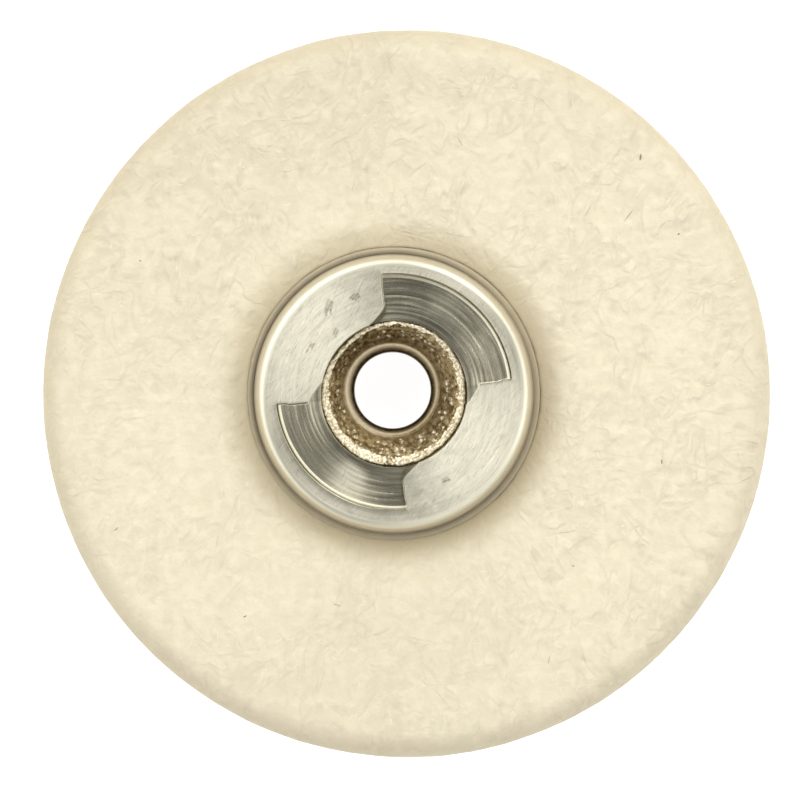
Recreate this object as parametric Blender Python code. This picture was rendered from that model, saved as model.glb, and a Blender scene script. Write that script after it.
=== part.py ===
"""Felt polishing wheel on a riveted metal hub.

The wheel lies flat. +Z leaves the drive face of the hub, and the origin is under the middle of
the felt, on the plane of the back flange. The hub's axis is a little off the middle of the felt,
along -X, as on a wheel that was punched and riveted by machine. All lengths are in metres.
"""

import math

import bmesh
import bpy

MM = 0.001

# Driving dimensions
WHEEL_DIAMETER = 25.4 * MM
FELT_THICKNESS = 4.0 * MM
FELT_SQUEEZE = 0.30 * MM  # how far each flange presses into the felt
FELT_EDGE_WIDTH = 0.90 * MM  # the worn, rounded edge, measured inwards
HUB_ECCENTRICITY = -0.45 * MM  # the hub's axis, along X from the middle of the felt
FLANGE_RADIUS = 5.10 * MM
FLANGE_HEIGHT = 1.10 * MM  # how far the hub stands out of the squeezed felt
BACK_FLANGE_THICKNESS = 1.00 * MM
SLEEVE_RADIUS = 2.70 * MM
BORE_RADIUS = 1.335 * MM
RIVET_WALL = 0.32 * MM
CLEARANCE = 0.03 * MM  # between pieces that touch

# The turned outside of the front flange
BRIM_THICKNESS = 0.15 * MM  # the thin brim that lies on the felt
BRIM_WIDTH = 0.16 * MM
BRIM_BEVEL = 0.04 * MM
SHOULDER_TAPER = 0.09 * MM  # how much narrower the shoulder is under the rim
RIM_ROUND = 0.22 * MM

# The drive face
RIM_RADIUS = 4.50 * MM  # where the flat face ends and the rounded rim begins
RECESS_RADIUS = 4.14 * MM
RECESS_LIP_RADIUS = 3.94 * MM
POCKET_RADIUS = 2.56 * MM  # the pocket that the flared rivet sits in
RAMP_DEEP = 0.50 * MM
RAMP_SHALLOW = 0.08 * MM
GROOVE_DEPTH = 0.14 * MM  # the narrow groove along the outer wall, below the ramp
WALL_DRAFT = 0.02 * MM
RECESS_COUNT = 2
RAMP_END = 6.0  # degrees, the shallow end of the first recess
RAMP_END_SWEEP = 15.0  # degrees that the shallow end runs on beside the rivet
NOTCH_RADIUS = 3.00 * MM  # that run starts here
RAMP_START = 96.5  # degrees, the deep end of the first recess
RAMP_START_SWEEP = 13.5  # degrees that the deep end runs on, behind the lobe's rounded corner
CORNER_RADIUS = 3.15 * MM  # that run starts here

# The felt
FELT_SWELL_WIDTH = 1.05 * MM  # from the squeezed ring out to the full thickness
FELT_EDGE_DROP = 1.04 * MM  # the rounded edge, measured down each face
FELT_EDGE_TURN = 75.0  # degrees of that rounding, up to the nearly straight rim

# The rivet's two ends
FLARE_RADIUS = 2.48 * MM
FLARE_DROP = 0.38 * MM  # the flare's edge, below the drive face
FLARE_EDGE = 0.15 * MM  # width of the blunt end of the tube
FLARE_LIP = 0.26 * MM  # radius of the bend between the bore and the flare
RIVET_HEAD_RADIUS = 2.45 * MM
RIVET_HEAD_THICKNESS = 0.30 * MM
HEAD_POCKET_SPARE = 0.10 * MM  # around and over the head, in the back flange
HEAD_ROUND = 0.10 * MM

# The back flange
BACK_BEVEL_HEIGHT = 0.40 * MM
BACK_BEVEL_WIDTH = 0.32 * MM

# Facets
FELT_STEPS = 84
FLANGE_STEPS = 72
RIVET_STEPS = 48
RAMP_STEPS = 24
LOBE_STEPS = 22
SHARP_ANGLE = math.radians(30)

# Heights, from the resting plane up
BACK_SEAT = BACK_FLANGE_THICKNESS
FRONT_SEAT = BACK_SEAT + FELT_THICKNESS - 2 * FELT_SQUEEZE
FACE = FRONT_SEAT + FLANGE_HEIGHT
FLARE_TOP = FACE - FLARE_DROP
POCKET_FLOOR = FACE - RAMP_DEEP - 0.10 * MM
UNDERSIDE = FRONT_SEAT + CLEARANCE
RIVET_RADIUS = BORE_RADIUS + RIVET_WALL
HUB_BORE_RADIUS = RIVET_RADIUS + CLEARANCE


def clear_scene():
    for obj in list(bpy.data.objects):
        bpy.data.objects.remove(obj)


def mix(start, end, share):
    return start + (end - start) * share


def smooth_share(value, low, high):
    """0 below low, 1 above high, and an S-curve between them."""
    share = min(max((value - low) / (high - low), 0.0), 1.0)
    return share * share * (3 - 2 * share)


def arc(centre, radius, start, end, steps):
    """Points (r, z) on an arc in the half-plane through the axis. Angles in degrees."""
    angles = [math.radians(mix(start, end, i / steps)) for i in range(steps + 1)]
    return [(centre[0] + radius * math.cos(a), centre[1] + radius * math.sin(a)) for a in angles]


def metal(name, colour, roughness):
    return principled(name, colour, roughness, 1.0)


def principled(name, colour, roughness, metallic):
    material = bpy.data.materials.new(name)
    material.use_nodes = True
    shader = material.node_tree.nodes["Principled BSDF"]
    shader.inputs["Base Color"].default_value = (*colour, 1.0)
    shader.inputs["Roughness"].default_value = roughness
    shader.inputs["Metallic"].default_value = metallic
    return material


def ring_body(name, rings, material):
    """A closed body around the axis from rings of equally many points, each joined to the next."""
    bm = bmesh.new()
    rows = [[bm.verts.new(point) for point in ring] for ring in rings]
    count = len(rows[0])
    for k, row in enumerate(rows):
        following = rows[(k + 1) % len(rows)]
        for j in range(count):
            other = (j + 1) % count
            bm.faces.new((row[j], row[other], following[other], following[j]))
    bmesh.ops.recalc_face_normals(bm, faces=bm.faces)
    mesh = bpy.data.meshes.new(name)
    bm.to_mesh(mesh)
    bm.free()
    mesh.shade_smooth()
    mesh.set_sharp_from_angle(angle=SHARP_ANGLE)
    mesh.materials.append(material)
    obj = bpy.data.objects.new(name, mesh)
    bpy.context.scene.collection.objects.link(obj)
    return obj


def circle(radius, height, steps, centre_x=0.0):
    angles = [math.tau * j / steps for j in range(steps)]
    return [(centre_x + radius * math.cos(a), radius * math.sin(a), height) for a in angles]


def turned(name, profile, steps, material):
    return ring_body(name, [circle(r, z, steps) for r, z in profile], material)


def felt_outline():
    """Points (r, z) of the felt's upper half: the squeezed ring, the full thickness, the round edge."""
    radius = WHEEL_DIAMETER / 2
    top = BACK_SEAT - FELT_SQUEEZE + FELT_THICKNESS
    swell_start = FLANGE_RADIUS + CLEARANCE
    swell_end = swell_start + FELT_SWELL_WIDTH
    edge_start = radius - FELT_EDGE_WIDTH
    points = [(SLEEVE_RADIUS + CLEARANCE, FRONT_SEAT)]
    for i in range(6):
        r = mix(swell_start, swell_end, i / 5)
        points.append((r, mix(FRONT_SEAT, top, smooth_share(r, swell_start, swell_end))))
    points.append((mix(swell_end, edge_start, 0.5), top))
    for i in range(7):
        a = math.radians(FELT_EDGE_TURN * i / 6)
        reach = math.sin(a) / math.sin(math.radians(FELT_EDGE_TURN))
        points.append((edge_start + FELT_EDGE_WIDTH * reach, top - FELT_EDGE_DROP * (1 - math.cos(a))))
    return points


def make_felt_disc():
    """The felt. Its bore and its squeezed ring are on the hub's axis, and its edge is on its own."""
    upper = felt_outline()
    twice_middle = FRONT_SEAT + BACK_SEAT
    rings = []
    for r, z in upper + [(r, twice_middle - z) for r, z in reversed(upper)]:
        to_hub = 1 - smooth_share(r, FLANGE_RADIUS + FELT_SWELL_WIDTH, WHEEL_DIAMETER / 2 - FELT_EDGE_WIDTH)
        rings.append(circle(r, z, FELT_STEPS, HUB_ECCENTRICITY * to_hub))
    return ring_body("felt_disc", rings, principled("pressed_wool_felt", (0.83, 0.76, 0.58), 0.95, 0.0))


def ramp_end(radius):
    """The recess's shallow end in degrees: radial, then turning along the rivet as a notch."""
    share = min(max((NOTCH_RADIUS - radius) / (NOTCH_RADIUS - POCKET_RADIUS), 0.0), 1.0)
    return RAMP_END - RAMP_END_SWEEP * share


def ramp_start(radius):
    """The recess's deep end in degrees: radial, then curving back round the lobe's corner."""
    share = min(max((CORNER_RADIUS - radius) / (CORNER_RADIUS - POCKET_RADIUS), 0.0), 1.0)
    return RAMP_START + RAMP_START_SWEEP * share * share


def face_ring(radius, in_groove):
    """One ring of the drive face: down on the ramps, up on the lobes, with a step at each end."""
    draft = math.degrees(WALL_DRAFT / radius)
    first, last = ramp_end(radius), ramp_start(radius)
    turn = 360 / RECESS_COUNT
    points = []
    for copy in range(RECESS_COUNT):
        for i in range(RAMP_STEPS + 1):
            share = i / RAMP_STEPS
            angle = mix(first + draft, last - draft, share)
            depth = mix(RAMP_SHALLOW, RAMP_DEEP, share)
            if in_groove:
                depth += GROOVE_DEPTH * (1 - share)
            points.append((angle + turn * copy, depth))
        for i in range(LOBE_STEPS + 1):
            points.append((mix(last, first + turn, i / LOBE_STEPS) + turn * copy, 0.0))
    return [place(radius, angle, FACE - depth) for angle, depth in points]


def place(radius, degrees, height):
    a = math.radians(degrees)
    return (radius * math.cos(a), radius * math.sin(a), height)


def level_ring(radius, height, like_radius=RIM_RADIUS):
    """A plain ring whose points stand at the angles of the drive face's ring at like_radius."""
    angles = [math.atan2(y, x) for x, y, _ in face_ring(like_radius, False)]
    return [(radius * math.cos(a), radius * math.sin(a), height) for a in angles]


def hub_outside():
    """Rings up the outside of the front flange: brim, shoulder and rounded rim."""
    brim_top = UNDERSIDE + BRIM_THICKNESS
    foot = FLANGE_RADIUS - BRIM_WIDTH
    profile = [
        (FLANGE_RADIUS, UNDERSIDE),
        (FLANGE_RADIUS, brim_top - BRIM_BEVEL),
        (FLANGE_RADIUS - BRIM_BEVEL, brim_top),
        (foot, brim_top),
        (foot - SHOULDER_TAPER, FACE - 1.4 * RIM_ROUND),
    ]
    profile += arc((RIM_RADIUS, FACE - RIM_ROUND), RIM_ROUND, 15, 90, 5)
    return [level_ring(r, z) for r, z in profile]


def hub_face():
    """Rings in from the rim over the drive face. Those between the recess wall and the pocket step down."""
    rings = [level_ring(RECESS_RADIUS, FACE)]
    rings.append(face_ring(RECESS_RADIUS - WALL_DRAFT, True))
    rings.append(face_ring(RECESS_LIP_RADIUS + WALL_DRAFT, True))
    ramp_width = RECESS_LIP_RADIUS - POCKET_RADIUS
    for share in (0.0, 0.32, 0.57, 0.68, 0.77, 0.86, 0.93, 1.0):
        rings.append(face_ring(RECESS_LIP_RADIUS - ramp_width * share, False))
    return rings


def hub_inside():
    """Rings down the pocket and the bore, round the sleeve's end and up its outside."""
    seat_drop = POCKET_RADIUS - HUB_BORE_RADIUS
    bore = [
        (POCKET_RADIUS - WALL_DRAFT, POCKET_FLOOR),
        (HUB_BORE_RADIUS, POCKET_FLOOR - seat_drop),
        (HUB_BORE_RADIUS, BACK_SEAT + CLEARANCE),
    ]
    sleeve = [(SLEEVE_RADIUS, BACK_SEAT + CLEARANCE), (SLEEVE_RADIUS, UNDERSIDE)]
    return [level_ring(r, z, POCKET_RADIUS) for r, z in bore] + [level_ring(r, z) for r, z in sleeve]


def make_drive_hub():
    """The front flange with its two ramps, the pocket for the rivet, and the sleeve through the felt."""
    rings = hub_outside() + hub_face() + hub_inside()
    return ring_body("drive_hub", rings, metal("turned_aluminium", (0.80, 0.79, 0.75), 0.32))


def make_back_flange():
    """The back plate: a flat ring with a bevelled edge and a pocket for the rivet's head."""
    pocket_radius = RIVET_HEAD_RADIUS + HEAD_POCKET_SPARE
    pocket_depth = RIVET_HEAD_THICKNESS + HEAD_POCKET_SPARE
    profile = [
        (HUB_BORE_RADIUS, BACK_SEAT - CLEARANCE),
        (FLANGE_RADIUS, BACK_SEAT - CLEARANCE),
        (FLANGE_RADIUS, BACK_BEVEL_HEIGHT),
        (FLANGE_RADIUS - 0.27 * BACK_BEVEL_WIDTH, 0.3 * BACK_BEVEL_HEIGHT),
        (FLANGE_RADIUS - BACK_BEVEL_WIDTH, 0.0),
        (pocket_radius, 0.0),
        (pocket_radius, pocket_depth),
        (HUB_BORE_RADIUS, pocket_depth),
    ]
    material = metal("turned_aluminium_back", (0.78, 0.77, 0.74), 0.35)
    return turned("back_flange", profile, FLANGE_STEPS, material)


def rivet_flare():
    """Points (r, z) up the outside of the flare, over the blunt end of the tube and down to the bore."""
    low = POCKET_FLOOR + CLEARANCE
    lip_radius = BORE_RADIUS + FLARE_LIP
    lip_height = FLARE_TOP - (FLARE_RADIUS - FLARE_EDGE - lip_radius)
    points = [
        (RIVET_RADIUS, low - (FLARE_RADIUS - RIVET_RADIUS) + CLEARANCE),
        (FLARE_RADIUS, low),
        (FLARE_RADIUS + 0.02 * MM, FLARE_TOP - 0.5 * FLARE_EDGE),
        (FLARE_RADIUS - 0.3 * FLARE_EDGE, FLARE_TOP),
        (FLARE_RADIUS - FLARE_EDGE, FLARE_TOP - 0.1 * FLARE_EDGE),
        (lip_radius, lip_height),
    ]
    return points + arc((lip_radius, lip_height - FLARE_LIP), FLARE_LIP, 105, 180, 4)


def make_tubular_rivet():
    """The brass tube: a formed head at the back, and a flare spread into the hub's pocket in front."""
    head_top = RIVET_HEAD_THICKNESS + HEAD_POCKET_SPARE - CLEARANCE
    head_bottom = head_top - RIVET_HEAD_THICKNESS
    mouth = FLARE_LIP * math.sqrt(0.5)
    head_back = [
        (BORE_RADIUS, head_bottom + FLARE_LIP),
        (BORE_RADIUS + FLARE_LIP - mouth, head_bottom + FLARE_LIP - mouth),
        (BORE_RADIUS + FLARE_LIP, head_bottom),
        (RIVET_HEAD_RADIUS - HEAD_ROUND, head_bottom),
        (RIVET_HEAD_RADIUS, head_bottom + HEAD_ROUND),
    ]
    head_front = [(RIVET_HEAD_RADIUS, head_top), (RIVET_RADIUS, head_top)]
    profile = head_front + rivet_flare() + head_back
    return turned("tubular_rivet", profile, RIVET_STEPS, metal("brass", (0.52, 0.39, 0.19), 0.38))


def main():
    clear_scene()
    wheel = bpy.data.objects.new("wheel", None)
    bpy.context.scene.collection.objects.link(wheel)
    felt = make_felt_disc()
    felt.parent = wheel
    for piece in (make_drive_hub(), make_back_flange(), make_tubular_rivet()):
        piece.parent = wheel
        piece.location.x = HUB_ECCENTRICITY


main()
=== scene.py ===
"""Looks of the felt polishing wheel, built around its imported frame.

Every CAD node is replaced by a detailed piece of the same shape and size. Shapes are worked out in
millimetres in the row frame, as numpy arrays, and the meshes are in metres. The hub's axis stands a
little off the middle of the felt. Angles of places on the drive face are in degrees, from +X to +Y.
"""

import itertools
import math

import bpy
import numpy as np
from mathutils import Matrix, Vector


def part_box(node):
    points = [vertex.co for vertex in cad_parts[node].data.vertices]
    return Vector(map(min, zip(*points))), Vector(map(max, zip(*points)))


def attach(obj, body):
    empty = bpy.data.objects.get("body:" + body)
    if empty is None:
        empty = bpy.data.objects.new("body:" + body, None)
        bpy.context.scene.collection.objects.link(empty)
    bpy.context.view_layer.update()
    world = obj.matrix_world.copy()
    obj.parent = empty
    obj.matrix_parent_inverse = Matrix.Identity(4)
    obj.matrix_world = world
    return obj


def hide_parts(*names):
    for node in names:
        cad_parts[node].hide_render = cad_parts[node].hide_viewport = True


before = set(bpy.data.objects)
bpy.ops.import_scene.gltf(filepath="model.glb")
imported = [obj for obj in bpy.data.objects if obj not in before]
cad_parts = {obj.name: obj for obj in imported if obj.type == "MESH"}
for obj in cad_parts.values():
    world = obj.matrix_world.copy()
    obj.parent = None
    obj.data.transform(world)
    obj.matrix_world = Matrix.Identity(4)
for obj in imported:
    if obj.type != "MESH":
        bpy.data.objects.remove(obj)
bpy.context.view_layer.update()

MM = 0.001
BODY = "root"

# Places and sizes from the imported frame, in millimetres
FELT_LOW, FELT_HIGH = (np.array(corner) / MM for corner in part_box("felt_disc"))
FLANGE_LOW, FLANGE_HIGH = (np.array(corner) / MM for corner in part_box("back_flange"))
WHEEL_RADIUS = (FELT_HIGH[0] - FELT_LOW[0]) / 2
HUB_X = (FLANGE_LOW[0] + FLANGE_HIGH[0]) / 2
FLANGE_RADIUS = (FLANGE_HIGH[0] - FLANGE_LOW[0]) / 2
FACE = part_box("drive_hub")[1].z / MM
FELT_TOP, FELT_BOTTOM = FELT_HIGH[2], FELT_LOW[2]
FELT_MIDDLE = (FELT_TOP + FELT_BOTTOM) / 2
HEAD_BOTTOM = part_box("tubular_rivet")[0].z / MM
FLARE_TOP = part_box("tubular_rivet")[1].z / MM

# The felt
CLEARANCE = 0.03  # between the felt and the metal
FELT_BORE = 2.73
SQUEEZE = 0.30
SEAT = FELT_TOP - SQUEEZE  # height of the squeezed felt under the hub's brim
WALL = FLANGE_RADIUS + CLEARANCE  # radius where the felt steps up beside the brim
SHOULDER = 0.20  # height of that step
SWELL_WIDTH = 1.05
EDGE_WIDTH, EDGE_DROP, EDGE_TURN = 0.90, 1.04, 75.0  # of the rounding round the wheel's edge
CREASE_DEPTH = 0.020
RANDOM_CREASES = 1100
SEAT_SHIFT = (0.020, 0.010)  # how far the step lies off the hub's axis
FELT_STEPS = 960
STRAND_SIDES = 6

# The drive hub
UNDER_BRIM = SEAT + CLEARANCE
BRIM_WIDTH, BRIM_THICKNESS, BRIM_ROUND = 0.225, 0.15, 0.04
FOOT_RADIUS = FLANGE_RADIUS - BRIM_WIDTH
RIM_START = 4.485  # where the flat face ends and the rounded rim begins
RIM_ROUND = 0.205
RIM_END = RIM_START + RIM_ROUND
WALL_TOP = 4.79
RECESS_RADIUS = 4.120
RECESS_SHIFT = (0.015, 0.060)  # how far the recesses' outer wall lies off the hub's axis
LIP_RADIUS, LIP_WIDTH, LIP_RISE = 4.065, 0.075, 0.035  # of the lip inside the groove
POCKET_RADIUS = 2.56
POCKET_DROP = 0.10  # how far the pocket's wall goes down past the recesses' deep ends
POCKET_TIGHT = 0.022  # share by which the pocket is smaller at 137 degrees
RAMP_DEEP, RAMP_SHALLOW, GROOVE_DEPTH = 0.50, 0.08, 0.08
WALL_DRAFT = 0.02
RAMP_END, RAMP_END_SWEEP, NOTCH_RADIUS = 6.0, 15.0, 3.00
RAMP_START, RAMP_START_SWEEP, CORNER_RADIUS = 96.5, 13.5, 3.15
EDGE_BREAK = 0.020
SLEEVE_RADIUS = 2.70
HUB_BORE = 1.685
MARK_PITCH, MARK_DEPTH = 0.235, 0.0008  # of the turning marks
FLOOR_MARK_DEPTH = 0.0030  # how much deeper they are in the recess floors
SCORED_RINGS, SCORE_WIDTH, SCORE_DEPTH = (2.90, 3.06, 3.43), 0.024, 0.011  # in the recess floors
DENT_DEPTH = 0.004
RAMP_STEPS, LOBE_STEPS = 190, 180

# The rivet
BORE_RADIUS, RIVET_RADIUS, FLARE_RADIUS = 1.335, 1.655, 2.455
FLARE_LIP = 0.26
FLARE_DEPTH = 1.35  # how far the flared end goes down below the hub's face
FLARE_EDGE = 0.75  # how far its torn edge does
CROWN_ROUND = 0.070
LIP_CREST = 1.578  # radius of the pale painted highlight ring where the flared end turns into the bore
RIVET_SHIFT = (-0.008, 0.012)  # how far the flared end lies off the hub's axis
BORE_SHIFT = (-0.030, 0.107)  # how far the bore lies off the flared end's axis
HEAD_RADIUS, HEAD_THICKNESS, HEAD_ROUND = 2.45, 0.30, 0.10
RIVET_STEPS = 600

# The back flange
HEAD_ROOM = 0.10  # round and above the rivet's head in its pocket
BEVEL_HEIGHT, BEVEL_WIDTH = 0.40, 0.32
FLANGE_ROUND, POCKET_ROUND = 0.06, 0.04
BACK_MARK_PITCH, BACK_MARK_DEPTH = 0.21, 0.004
FLANGE_STEPS = 360


# -------- noise

rng = np.random.default_rng(41)
GRADIENTS = rng.normal(size=(256, 3))
GRADIENTS /= np.linalg.norm(GRADIENTS, axis=1)[:, None]
SHUFFLE = rng.permutation(256)


def noise(points, size, seed):
    """Smooth noise, about -1 to 1, with lumps of this size, at points in the last axis."""
    place = np.asarray(points, float) / size
    cell = np.floor(place).astype(int)
    inside = place - cell
    fade = inside ** 3 * (inside * (inside * 6 - 15) + 10)
    total = 0.0
    for corner in itertools.product((0, 1), repeat=3):
        c = cell + corner
        index = SHUFFLE[(c[..., 0] + seed) & 255]
        index = SHUFFLE[(c[..., 1] + index) & 255]
        index = SHUFFLE[(c[..., 2] + index) & 255]
        pull = (GRADIENTS[index] * (inside - corner)).sum(-1)
        total = total + pull * np.where(corner, fade, 1 - fade).prod(-1)
    return total * 1.6


def warped(points, size, reach, seed):
    """The points pushed about by three noises, so that what follows wanders."""
    push = np.stack([noise(points, size, seed + axis) for axis in range(3)], axis=-1)
    return points + reach * push


def rising(value, low, high):
    """0 under low, rising smoothly to 1 over high. fading is the other way round."""
    share = np.clip((value - low) / (high - low), 0.0, 1.0)
    return share * share * (3 - 2 * share)


def fading(value, low, high):
    return 1 - rising(value, low, high)


def bell(value, width):
    """1 at 0, falling off smoothly over this width on each side."""
    return np.exp(-(value / width) ** 2)


def cosine_to(angles, degrees):
    """Cosine of the angle between these angles, in radians, and this one in degrees."""
    return np.cos(angles - math.radians(degrees))


def towards(angles, degrees):
    """1 on this side of an axis, falling to 0 on the opposite side."""
    return 0.5 + 0.5 * cosine_to(angles, degrees)


def facing(angles, degrees):
    """1 on this side of an axis, falling to 0 a quarter turn away and beyond."""
    return np.maximum(cosine_to(angles, degrees), 0)


def near_angle(angles, degrees, width):
    """1 at this angle, falling off smoothly over this many degrees on each side."""
    return bell((np.degrees(angles) - degrees + 180) % 360 - 180, width)


def bulges(angles, rows):
    """The sum of the bulges round an axis in rows of (degrees, width in degrees, size)."""
    return sum(size * near_angle(angles, degrees, width) for degrees, width, size in rows)


def direction(degrees):
    """Unit vector (x, y) at this angle."""
    return np.array([math.cos(math.radians(degrees)), math.sin(math.radians(degrees))])


def unit_vectors(angles):
    """Unit vectors (x, y) at these angles, in radians."""
    return np.stack([np.cos(angles), np.sin(angles)], axis=-1)


def unit_circle(steps):
    """(angles, unit vectors) of so many steps round an axis."""
    angles = math.tau * np.arange(steps) / steps
    return angles, unit_vectors(angles)


def lifted(places, height):
    """Points (x, y, z) at this height from places (x, y)."""
    return np.concatenate([places, np.full(places.shape[:-1] + (1,), height)], axis=-1)


# -------- meshes

def add_object(name, data):
    thing = bpy.data.objects.new(name, data)
    bpy.context.scene.collection.objects.link(thing)
    return thing


def mesh_piece(name, points, faces, material):
    """A mesh object from points in millimetres and an array of faces."""
    mesh = bpy.data.meshes.new(name)
    corners = faces.shape[1]
    mesh.vertices.add(len(points))
    mesh.vertices.foreach_set("co", (points * MM).astype(np.float32).ravel())
    mesh.loops.add(faces.size)
    mesh.loops.foreach_set("vertex_index", faces.astype(np.int32).ravel())
    mesh.polygons.add(len(faces))
    mesh.polygons.foreach_set("loop_start", np.arange(0, faces.size, corners, dtype=np.int32))
    mesh.update(calc_edges=True)
    mesh.validate()
    mesh.shade_smooth()
    mesh.materials.append(material)
    return add_object(name, mesh)


def ring_faces(count, steps, closed=True):
    """Quads between neighbouring rings. A closed body joins its last ring to its first."""
    index = np.arange(count * steps).reshape(count, steps)
    across = np.roll(index, -1, axis=1)
    following, following_across = np.roll(index, -1, axis=0), np.roll(across, -1, axis=0)
    quads = np.stack([index, following, following_across, across], axis=-1)
    return (quads if closed else quads[:-1]).reshape(-1, 4)


def facing_out(points, faces):
    """The faces turned so that the body has a positive volume."""
    a, b, c, d = (points[faces[:, k]] for k in range(4))
    volume = np.einsum("ij,ij->", np.cross(a, b), c) + np.einsum("ij,ij->", np.cross(a, c), d)
    return faces if volume > 0 else faces[:, ::-1]


def ring_piece(name, rings, material):
    """A closed body from an array of rings, (ring, step, xyz), in millimetres."""
    count, steps = rings.shape[:2]
    points = rings.reshape(-1, 3)
    return mesh_piece(name, points, facing_out(points, ring_faces(count, steps)), material)


def set_attributes(piece, **attributes):
    """Stores numbers on the piece's points, under these names, for its material."""
    for name, values in attributes.items():
        attribute = piece.data.attributes.new(name, "FLOAT", "POINT")
        attribute.data.foreach_set("value", np.asarray(values, np.float32).ravel())


def push_out(rings, relief, outline, spokes):
    """Moves the rings by relief along the normals of the outline they were turned from."""
    normals = profile_normals(outline)
    rings[..., :2] += (relief * normals[:, :1])[..., None] * spokes
    rings[..., 2] += relief * normals[:, 1:]


def profile_normals(profile):
    """Unit normals (r, z) of a closed outline, pointing to the left of the way it runs."""
    tangent = np.roll(profile, -1, axis=0) - np.roll(profile, 1, axis=0)
    tangent /= np.linalg.norm(tangent, axis=1)[:, None]
    return np.stack([-tangent[:, 1], tangent[:, 0]], axis=1)


def arc(centre, radius, start, end, steps):
    return centre + radius * unit_vectors(np.radians(np.linspace(start, end, steps + 1)))


def line(start, end, spacing):
    """Points (r, z) from start up to but not including end."""
    start, end = np.array(start, float), np.array(end, float)
    steps = max(1, round(np.linalg.norm(end - start) / spacing))
    return start + (end - start) * (np.arange(steps) / steps)[:, None]


def turned_rings(profile, steps):
    """Rings of points round the upright axis from an outline of (r, z)."""
    _, spokes = unit_circle(steps)
    rings = np.empty((len(profile), steps, 3))
    rings[..., :2] = profile[:, :1, None] * spokes
    rings[..., 2] = profile[:, 1:]
    return rings


# -------- shader helpers

class Shading:
    """Makes and wires the nodes of one tree."""

    def __init__(self, tree):
        tree.nodes.clear()
        self.tree = tree

    def node(self, kind, inputs=(), **settings):
        node = self.tree.nodes.new("ShaderNode" + kind)
        for name, value in settings.items():
            setattr(node, name, value)
        for key, value in dict(inputs).items():
            if isinstance(value, bpy.types.NodeSocket):
                self.tree.links.new(value, node.inputs[key])
            else:
                node.inputs[key].default_value = value
        return node

    def math(self, operation, *values):
        inputs = dict(enumerate(values))
        return self.node("Math", inputs, operation=operation).outputs[0]

    def product(self, first, second):
        return self.math("MULTIPLY", first, second)

    def larger(self, first, second):
        return self.math("MAXIMUM", first, second)

    def vector(self, operation, *values):
        inputs = dict(enumerate(values))
        return self.node("VectorMath", inputs, operation=operation).outputs[0]

    def scaled(self, vector, factor):
        return self.node("VectorMath", {0: vector, "Scale": factor}, operation="SCALE").outputs[0]

    def noise(self, vector, scale, detail=2.0, roughness=0.5, distortion=0.0):
        inputs = {"Vector": vector, "Scale": scale, "Detail": detail, "Roughness": roughness,
                  "Distortion": distortion}
        return self.node("TexNoise", inputs).outputs["Fac"]

    def ramp(self, value, low, high, bottom=0.0, top=1.0):
        """Smoothly from bottom, where value is under low, to top, where it is over high."""
        inputs = {"Value": value, "From Min": low, "From Max": high, "To Min": bottom, "To Max": top}
        return self.node("MapRange", inputs, interpolation_type="SMOOTHSTEP").outputs[0]

    def mixed(self, share, first, second):
        """A number between the first, where share is 0, and the second, where it is 1."""
        return self.node("Mix", {0: share, 2: first, 3: second}).outputs[0]

    def blend(self, share, first, second):
        """The same for colours."""
        inputs = {0: share, 6: first, 7: second}
        return self.node("Mix", inputs, data_type="RGBA").outputs[2]

    def times(self, colour, factor):
        """The colour times a number."""
        grey = self.node("CombineColor", {0: factor, 1: factor, 2: factor}).outputs[0]
        inputs = {0: 1.0, 6: colour, 7: grey}
        return self.node("Mix", inputs, data_type="RGBA", blend_type="MULTIPLY").outputs[2]

    def darkened(self, colour, share, factor):
        """The colour, times this factor where share is 1 and unchanged where it is 0."""
        return self.times(colour, self.ramp(share, 0.0, 1.0, 1.0, factor))

    def attribute(self, name):
        return self.node("Attribute", attribute_name=name).outputs["Fac"]

    def bump(self, height, distance, strength=1.0, normal=None):
        inputs = {"Height": height, "Distance": distance * MM, "Strength": strength}
        if normal is not None:
            inputs["Normal"] = normal
        return self.node("Bump", inputs).outputs[0]

    def place(self, about=(0.0, 0.0, 0.0)):
        """The shaded point in millimetres, measured from this place in the row frame."""
        point = self.node("TexCoord").outputs["Object"]
        return self.vector("SUBTRACT", self.scaled(point, 1 / MM), about)

    def polar(self, point):
        """(radius, unit vector away from the axis) of a point measured from an upright axis."""
        flat = self.vector("MULTIPLY", point, (1.0, 1.0, 0.0))
        radius = self.node("VectorMath", {0: flat}, operation="LENGTH").outputs["Value"]
        return radius, self.vector("NORMALIZE", flat)

    def slanted(self, point, degrees, length, pitch):
        """The point with one unit along this slant made length long, and across it pitch wide."""
        inputs = {"Vector": point, "Scale": (length, pitch, 1.0),
                  "Rotation": (0.0, 0.0, math.radians(degrees))}
        return self.node("Mapping", inputs, vector_type="TEXTURE").outputs[0]

    def streaks(self, radius, outward, length, pitch, detail=2.0):
        """Noise drawn out along circles: lumps this many radians long and this far apart."""
        round_part = self.scaled(outward, 1 / length)
        lift = self.node("CombineXYZ", {2: self.math("DIVIDE", radius, pitch)}).outputs[0]
        return self.noise(self.vector("ADD", round_part, lift), 1.0, detail)


def rgb(red, green, blue):
    return (red, green, blue, 1.0)


def principled(name, **values):
    """(material, its Shading, its Principled shader), with these values set on the shader."""
    material = bpy.data.materials.new(name)
    material.use_nodes = True
    shading = Shading(material.node_tree)
    surface = shading.node("BsdfPrincipled", {key.replace("_", " "): v for key, v in values.items()})
    output = shading.node("OutputMaterial")
    shading.tree.links.new(surface.outputs[0], output.inputs["Surface"])
    return material, shading, surface


def plug(shading, surface, **values):
    """Wires these values into the shader's sockets of the same names."""
    for key, value in values.items():
        shading.tree.links.new(value, surface.inputs[key.replace("_", " ")])


# -------- materials

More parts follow.
